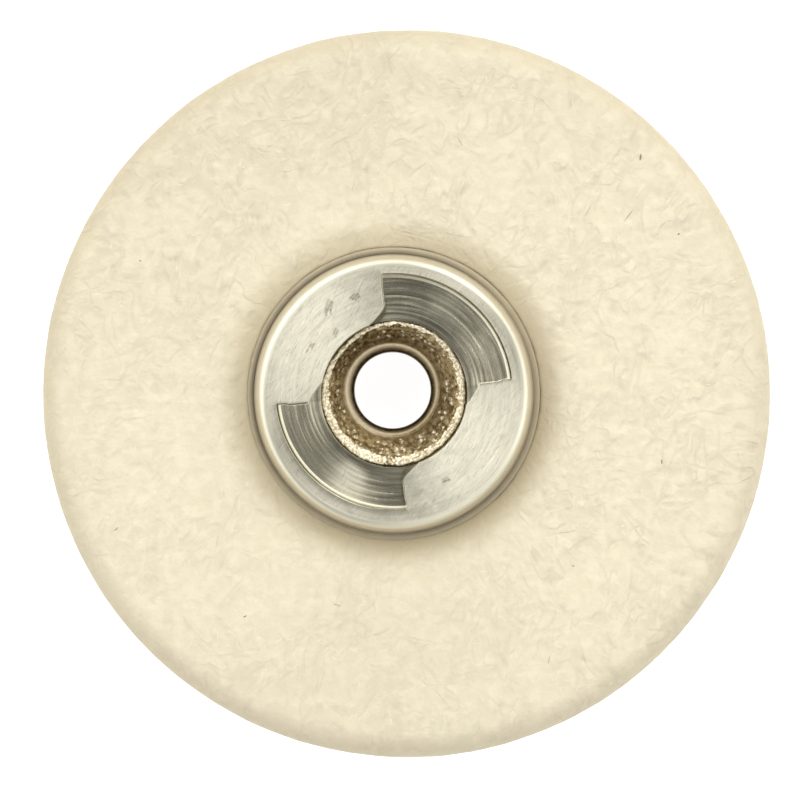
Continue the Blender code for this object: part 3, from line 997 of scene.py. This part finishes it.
def settle_on_wheel(rings, radius, turn):
    """Narrows the pocket on one side, shifts the recess walls and moves the rings to the hub's axis."""
    by_recess = rising(radius, 3.6, 3.85) * (rings[..., 2] > FACE - 1.5 * RAMP_DEEP)
    by_recess *= fading(radius, RECESS_RADIUS + 0.1, RIM_START - 0.05)
    tight = POCKET_TIGHT * facing(turn, 137) ** 2 * (radius > SLEEVE_RADIUS - 0.3)
    tight *= fading(radius, POCKET_RADIUS, POCKET_RADIUS + 0.5)
    rings[..., :2] *= (1 - tight)[..., None]
    rings[..., :2] += by_recess[..., None] * RECESS_SHIFT
    rings[..., 0] += HUB_X


def make_hub():
    rings, floors = hub_rings()
    radius = np.hypot(rings[..., 0], rings[..., 1])
    turn = np.arctan2(rings[..., 1], rings[..., 0])
    on_lip = np.abs(radius - LIP_RADIUS + 0.5 * LIP_WIDTH) < 0.5 * LIP_WIDTH + 0.005
    # smoother floors and face ring, which also take the painted dark reflection of the floor colours
    ring_polish = 0.20 * rising(radius, RECESS_RADIUS, RECESS_RADIUS + 0.30)
    ring_polish *= fading(radius, RIM_START - 0.04, RIM_START + 0.06)
    polish = np.maximum(np.where(on_lip, 0.0, floors), ring_polish)
    polish *= 1 - 0.75 * rubbed_fan(radius, turn)
    # painted shade and reflection falloff over the face, with a little tarnish
    dull = hub_tarnish(rings, radius, turn, floors, on_lip)
    cut_marks(rings, radius, floors)
    below = FACE - rings[..., 2]
    # waist and pocket wall: painted reflection of the felt and painted shade, with some grime
    grime = rising(radius, RIM_END - 0.03, RIM_END + 0.05) * rising(below, 0.08, 0.16)
    grime = np.maximum(grime, 0.75 * (radius < POCKET_RADIUS - 0.5 * WALL_DRAFT))
    # mask of the rim, for its painted highlight and, in hub_foot, painted shade on parts of it
    rim = rising(radius, RIM_START - 0.06, RIM_START) * fading(below, 0.30, 0.40)
    foot = hub_foot(radius, turn, below, rim)
    # painted highlight along the lip, strongest towards 215 and 35 degrees
    worn_lip = on_lip * floors * (0.55 + 0.45 * cosine_to(turn, 215) ** 2)
    settle_on_wheel(rings, radius, turn)

    material = aluminium("turned_aluminium", 0.3, drive_face_wear)
    hub = ring_piece("turned_drive_hub", rings, material)
    set_attributes(hub, polish=polish, grime=grime, rim=rim, foot=foot, worn_lip=worn_lip, dull=dull,
                   scuff=scuffs(rings))
    return hub


def near_either(degrees, middle, width):
    """1 at this angle and at the one opposite, falling off smoothly over this many degrees."""
    return bell((degrees - middle + 90) % 180 - 90, width)


def rubbed_fan(radius, turn):
    """1 in a narrow painted highlight fan across the second recess, and less in the first one."""
    degrees = np.degrees(turn)
    strength = np.where(degrees % 360 > 180, 1.0, 0.22)
    return strength * near_either(degrees, 241, 10.0) * rising(radius, 2.6, 3.1)


def hub_tarnish(points, radius, turn, floors, on_lip):
    """How dark the drive face is, about 0 to 1, mostly painted shade and reflection falloff with a little
    tarnish mottling: most in the groove, by the rivet and deep down, and towards the lobes' ends by the
    deep steps.
    """
    degrees = np.degrees(turn)
    along_ramp = (degrees - RAMP_END) % 180.0
    outside = radius > RECESS_RADIUS + 0.5 * EDGE_BREAK

    floor = 0.40 * towards(turn, 64) + 0.28 * rising(along_ramp, 5.0, 60.0)
    floor += 0.45 * fading(radius, POCKET_RADIUS, POCKET_RADIUS + 0.65)
    floor += 0.80 * towards(turn, 275) ** 18 - 0.9 * rubbed_fan(radius, turn)
    floor -= 0.50 * towards(turn, 224) ** 6 * rising(radius, 3.15, 3.65)

    lobe = 0.42 * fading((degrees - RAMP_START) % 180.0, 2.0, 36.0)
    end_step = near_either(degrees, RAMP_END, 0.9) * (radius > NOTCH_RADIUS)
    face = np.where(floors > 0, floor, np.maximum(lobe, 0.7 * end_step))

    beside_lip = fading(radius, RECESS_RADIUS, RECESS_RADIUS + 0.22)
    ring = 0.08 + 0.22 * towards(turn, 245) ** 2 + 0.6 * beside_lip * towards(turn, 245) ** 3
    off_lobe = rising(radius, RECESS_RADIUS - 0.05, RIM_START)
    ring = np.where(along_ramp > RAMP_START - RAMP_END, lobe + (ring - lobe) * off_lobe, ring)
    ring *= fading(radius, RIM_START - 0.05, RIM_START + 0.05)

    tarnish = np.where(outside, ring, face)
    groove = (radius > LIP_RADIUS) & ~outside & (points[..., 2] < FACE - 0.5 * RAMP_SHALLOW)
    groove_tarnish = 0.25 + 0.45 * np.maximum(towards(turn, 10) ** 8, towards(turn, 215) ** 2)
    tarnish = np.where(groove & ~on_lip, groove_tarnish, tarnish)
    tarnish = np.where(on_lip & (floors > 0), 0.0, tarnish)
    return tarnish + 0.08 * noise(points, 0.5, 80)


STROKE_SPACING, STROKE_WIDTH = 0.085, 0.034
SCUFFS = (  # radius, degrees, turn of the strokes, reach, number of strokes
    (3.76, 127.0, 80.0, 0.34, 3),
    (2.95, 133.0, 66.0, 0.13, 2),
    (3.62, 112.0, 40.0, 0.13, 3),
    (3.30, 150.0, 58.0, 0.20, 2),
    (3.50, 302.0, 24.0, 0.14, 2),
)


def scuffs(points):
    """Soft near-parallel scrapes on the lobes: up to 1 along a stroke's middle, 0 off it."""
    strength = np.zeros(points.shape[:2])
    for radius, degrees, turn, reach, count in SCUFFS:
        for number in range(count):
            tilt = turn + rng.normal() * 4
            along, across = direction(tilt), direction(tilt + 90)
            spaced = STROKE_SPACING * (number - 0.5 * (count - 1))
            middle = radius * direction(degrees) + across * spaced + along * rng.normal() * 0.05
            half = reach * rng.uniform(0.5, 1.0)
            offset = points[..., :2] - (HUB_X, 0.0) - middle
            forward, aside = offset @ along, offset @ across
            beyond = np.maximum(np.abs(forward) - half, 0)
            stroke = bell(np.hypot(beyond, aside + 0.4 * forward ** 2), STROKE_WIDTH)
            strength = np.maximum(strength, stroke * rng.uniform(0.65, 1.0))
    ragged = 0.75 + 0.5 * noise(points, 0.09, 85)
    return np.clip(strength * ragged, 0, 1) * (points[..., 2] > FACE - 0.03)


# -------- rivet

# Bulges round the rivet, each (degrees, width in degrees, size)
EDGE_BULGES = (137, 26, -0.090), (310, 22, -0.025), (40, 32, 0.040), (240, 40, 0.024)
SPARKLE_PATCHES = (10, 30, 0.50), (273, 12, 0.35)
SHADED_SIDES = (312, 55, 0.46), (5, 35, 0.20)


def rivet_outline():
    """Points (r, z) up the tube's outside, round the flared end, down the bore and round the head."""
    head_top = HEAD_BOTTOM + HEAD_THICKNESS
    lip_radius = BORE_RADIUS + FLARE_LIP
    flare_low = FACE - RAMP_DEEP - POCKET_DROP + CLEARANCE
    tube_top = flare_low - (FLARE_RADIUS - RIVET_RADIUS) + CLEARANCE
    lip_height = FLARE_TOP - (FLARE_RADIUS - 0.15 - lip_radius)
    lip_arc = arc((lip_radius, lip_height - FLARE_LIP), FLARE_LIP, 84, 180, 20)
    crown = arc((FLARE_RADIUS - 0.058, FLARE_TOP - CROWN_ROUND), CROWN_ROUND, 0, 150, 12)
    mouth = arc((lip_radius, HEAD_BOTTOM + FLARE_LIP), FLARE_LIP, 180, 270, 8)
    head_edge = arc((HEAD_RADIUS - HEAD_ROUND, HEAD_BOTTOM + HEAD_ROUND), HEAD_ROUND, 270, 360, 6)
    return np.concatenate([
        [(RIVET_RADIUS, head_top), (RIVET_RADIUS, tube_top)],
        line((FLARE_RADIUS, flare_low), crown[0], 0.04),
        crown,
        line(crown[-1], lip_arc[0], 0.028)[1:],
        lip_arc,
        line(lip_arc[-1], mouth[0], 0.6)[1:],
        mouth,
        line(mouth[-1], head_edge[0], 0.05)[1:],
        head_edge,
        [(HEAD_RADIUS, head_top)],
    ])


def torn_metal(rings, radius, angles):
    """1 where the flare's edge is torn bright, partly real torn metal and partly painted highlight: in a
    ring, widest at 242 degrees and beaded at 92.
    """
    reach = FLARE_RADIUS - 0.125 - 0.140 * towards(angles, 242) ** 1.3 + 0.045 * noise(rings, 0.28, 35)
    reach -= 0.055 * near_angle(angles, 15, 40)
    torn = rising(radius[:, None], reach - 0.03, reach + 0.05)
    beads = noise(rings * (1.0, 1.0, 0.3), 0.15, 36)
    torn *= 1 - 0.50 * near_angle(angles, 92, 40) * rising(-beads, -0.1, 0.4)
    return torn * (1 - 0.8 * near_angle(angles, 266, 4.5))


def ruffle(rings, outline, spokes, cone, outer, raw):
    """Raises peeled flakes on the cone and knobs on the torn edge, and spreads that edge unevenly."""
    peel = 0.010 * noise(rings, 0.22, 31) + 0.005 * noise(rings, 0.10, 32)
    knobs = 0.030 * noise(rings, 0.17, 33) + 0.014 * noise(rings, 0.09, 34)
    relief = peel * (cone * (1 - outer))[:, None] + knobs * np.maximum(raw, outer[:, None])
    near_edge = outline[:, 1] > FACE - FLARE_EDGE
    push_out(rings, relief * near_edge[:, None], outline, spokes)
    angles, _ = unit_circle(len(spokes))
    waver = 0.020 * noise(lifted(spokes, 0.0), 0.12, 37) + 0.026 + bulges(angles, EDGE_BULGES)
    rings[..., :2] += (waver * (outer * near_edge)[:, None])[..., None] * spokes


def lip_and_shade(radius, angles, cone):
    """(lip, shade) of the flared end: the painted highlight on its crest round the bore, with a little
    painted light on the cone, and the painted shade inside of it.
    """
    from_crest = radius[:, None] - LIP_CREST + 0.025 * np.cos(angles) - 0.030 * np.sin(angles)
    inner_width = 0.050 + 0.045 * towards(angles, 165) ** 2 + 0.030 * near_angle(angles, 70, 50)
    outer_width = 0.048 + 0.055 * towards(angles, 200) ** 3
    crest = bell(from_crest, np.where(from_crest < 0, inner_width, outer_width))
    lip = crest * (0.82 - 0.54 * near_angle(angles, 308, 58))
    lip = np.maximum(lip, cone[:, None] * 0.08 * near_angle(angles, 50, 35))
    shade = fading(from_crest, -0.075, 0.0) * (1 - 0.45 * near_angle(angles, 65, 50))
    inward = fading(radius, FLARE_RADIUS - 0.40, FLARE_RADIUS - 0.20)
    return lip, np.maximum(shade, inward[:, None] * bulges(angles, SHADED_SIDES))


def make_rivet():
    outline = rivet_outline()
    radius, height = outline.T
    angles, spokes = unit_circle(RIVET_STEPS)
    rings = turned_rings(outline, RIVET_STEPS)
    front = height > FACE - FLARE_DEPTH
    outer = front * rising(radius, FLARE_RADIUS - 0.24, FLARE_RADIUS - 0.12)
    cone = front * rising(radius, BORE_RADIUS + 0.22, BORE_RADIUS + 0.5)
    inner = (radius < BORE_RADIUS + 0.5) & (np.arange(len(radius)) > 2)
    to_bore = np.where(cone > 0, fading(radius, BORE_RADIUS + 0.2, FLARE_RADIUS - 0.1), inner)
    raw = front[:, None] * torn_metal(rings, radius, angles)
    ruffle(rings, outline, spokes, cone, outer, raw)
    rings[..., :2] += (RIVET_SHIFT + to_bore[:, None] * BORE_SHIFT)[:, None]
    rings[..., 0] += HUB_X

    rivet = ring_piece("flared_tube_rivet", rings, brass())
    # where the painted glints gather, most towards 305 degrees
    sparkle = 0.35 + 0.65 * towards(angles, 305) + bulges(angles, SPARKLE_PATCHES)
    sparkle *= 1 - 0.45 * near_angle(angles, 222, 22)
    on_cone = front * rising(radius, BORE_RADIUS + 0.32, FLARE_RADIUS - 0.45)
    lip, shade = lip_and_shade(radius, angles, cone)
    set_attributes(rivet, raw_metal=raw, sparkle=on_cone[:, None] * sparkle,
                   lip=front[:, None] * lip, shade=front[:, None] * shade)
    return rivet


# -------- back flange

def make_back_flange():
    top = FLANGE_HIGH[2]
    pocket, pocket_top = HEAD_RADIUS + HEAD_ROOM, HEAD_THICKNESS + HEAD_ROOM
    corner = arc((FLANGE_RADIUS - FLANGE_ROUND, top - FLANGE_ROUND), FLANGE_ROUND, 90, 0, 5)
    bevel = arc((0.0, 0.0), 1.0, 0, -90, 14) * (BEVEL_WIDTH, BEVEL_HEIGHT)
    bevel = bevel + (FLANGE_RADIUS - BEVEL_WIDTH, BEVEL_HEIGHT)
    outline = np.concatenate([
        line((HUB_BORE, top), corner[0], 0.4),
        corner,
        bevel,
        line(bevel[-1], (pocket + POCKET_ROUND, 0.0), 0.04)[1:],
        arc((pocket + POCKET_ROUND, POCKET_ROUND), POCKET_ROUND, 270, 180, 4),
        line((pocket, POCKET_ROUND), (pocket, pocket_top), 0.1)[1:],
        line((pocket, pocket_top), (HUB_BORE, pocket_top), 0.2),
        line((HUB_BORE, pocket_top), (HUB_BORE, top), 0.2),
    ])
    rings = turned_rings(outline, FLANGE_STEPS)
    marks = 1 + np.sin(outline[:, 0] * math.tau / BACK_MARK_PITCH)
    rings[..., 2] += (BACK_MARK_DEPTH * marks * (outline[:, 1] < 0.01))[:, None]
    rings[..., 0] += HUB_X
    return ring_piece("back_retaining_flange", rings, aluminium("turned_aluminium_back", 0.4))


# -------- stage

CAMERA_LENS = 500.0
SENSOR = 36.0
VIEW_WIDTH = 27.99
VIEW_CENTRE = (-0.231, -0.2205)
LAMP_DISTANCE = 0.40  # in metres
FLOOR_HALF, FLOOR_GAP = 300.0, 0.02


def make_camera():
    data = bpy.data.cameras.new("camera")
    data.lens, data.sensor_width = CAMERA_LENS, SENSOR
    camera = add_object("camera", data)
    distance = VIEW_WIDTH * CAMERA_LENS / SENSOR
    camera.location = Vector((*VIEW_CENTRE, FELT_MIDDLE + distance)) * MM
    bpy.context.scene.camera = camera


def make_world():
    """A bright soft dome, darker overhead behind the camera and towards the horizon."""
    world = bpy.data.worlds.new("studio_dome")
    bpy.context.scene.world = world
    world.use_nodes = True
    s = Shading(world.node_tree)
    outward = s.node("TexCoord").outputs["Generated"]
    parts = s.node("SeparateXYZ", {0: outward}).outputs
    north = azimuth_share(s, outward, 99.0)
    beside = s.ramp(parts[2], math.cos(math.radians(27)), math.cos(math.radians(9)), 1.0, 0.0)
    along = azimuth_share(s, outward, 140.0)
    fan = s.ramp(s.product(along, along), 0.0, 1.0, 0.12, 2.55)
    high = s.product(s.product(beside, fan), s.math("MULTIPLY_ADD", north, 0.28, 1.0))
    low = s.product(s.ramp(parts[2], 0.0, 0.35, 0.60, 1.0), s.ramp(north, -1.0, -0.15, 0.60, 1.72))
    level = s.mixed(s.ramp(parts[2], 0.55, 0.80), low, high)
    level = s.math("MULTIPLY_ADD", level, 0.765, 0.160)
    background = s.node("Background", {"Color": rgb(1.0, 1.0, 1.0), "Strength": level})
    output = s.node("OutputWorld")
    s.tree.links.new(background.outputs[0], output.inputs["Surface"])


def azimuth_share(s, outward, degrees):
    """Cosine of the angle, seen from above, between a direction outwards and this azimuth."""
    flat = s.vector("NORMALIZE", s.vector("MULTIPLY", outward, (1.0, 1.0, 0.0)))
    inputs = {0: flat, 1: (*direction(degrees), 0.0)}
    return s.node("VectorMath", inputs, operation="DOT_PRODUCT").outputs["Value"]


def make_softbox(name, azimuth, height, size, energy):
    """A round softbox that faces the wheel from this azimuth and height, in degrees."""
    data = bpy.data.lights.new(name, "AREA")
    data.shape, data.size, data.energy = "DISK", size, energy
    lamp = add_object(name, data)
    turn, lift = math.radians(azimuth), math.radians(height)
    away = Vector((math.cos(turn) * math.cos(lift), math.sin(turn) * math.cos(lift), math.sin(lift)))
    lamp.location = away * LAMP_DISTANCE
    lamp.rotation_euler = away.to_track_quat("Z", "Y").to_euler()


def make_floor():
    material, _, surface = principled("white_sweep", Roughness=0.9, Emission_Strength=0.95)
    surface.inputs["Base Color"].default_value = rgb(0.35, 0.35, 0.35)
    surface.inputs["Emission Color"].default_value = rgb(1.0, 1.0, 1.0)
    corners = [(-FLOOR_HALF, -FLOOR_HALF), (FLOOR_HALF, -FLOOR_HALF), (FLOOR_HALF, FLOOR_HALF),
               (-FLOOR_HALF, FLOOR_HALF)]
    points = np.array([(*corner, -FLOOR_GAP) for corner in corners])
    floor = mesh_piece("floor", points, np.array([[0, 1, 2, 3]]), material)


def main():
    make_camera()
    make_world()
    make_softbox("key_softbox", azimuth=60.0, height=48.0, size=0.20, energy=0.20)
    make_softbox("top_softbox", azimuth=60.0, height=66.0, size=0.06, energy=0.06)
    make_floor()
    bpy.context.scene.view_settings.view_transform = "Standard"
    pieces = {
        "felt_disc": (make_felt(), "felt"),
        "drive_hub": (make_hub(), "hub_metal"),
        "tubular_rivet": (make_rivet(), "rivet_brass"),
        "back_flange": (make_back_flange(), "flange_metal"),
    }
    for node, (piece, slot) in pieces.items():
        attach(piece, BODY)
        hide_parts(node)
    for piece in (make_fibres(), make_flecks()):
        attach(piece, BODY)


main()
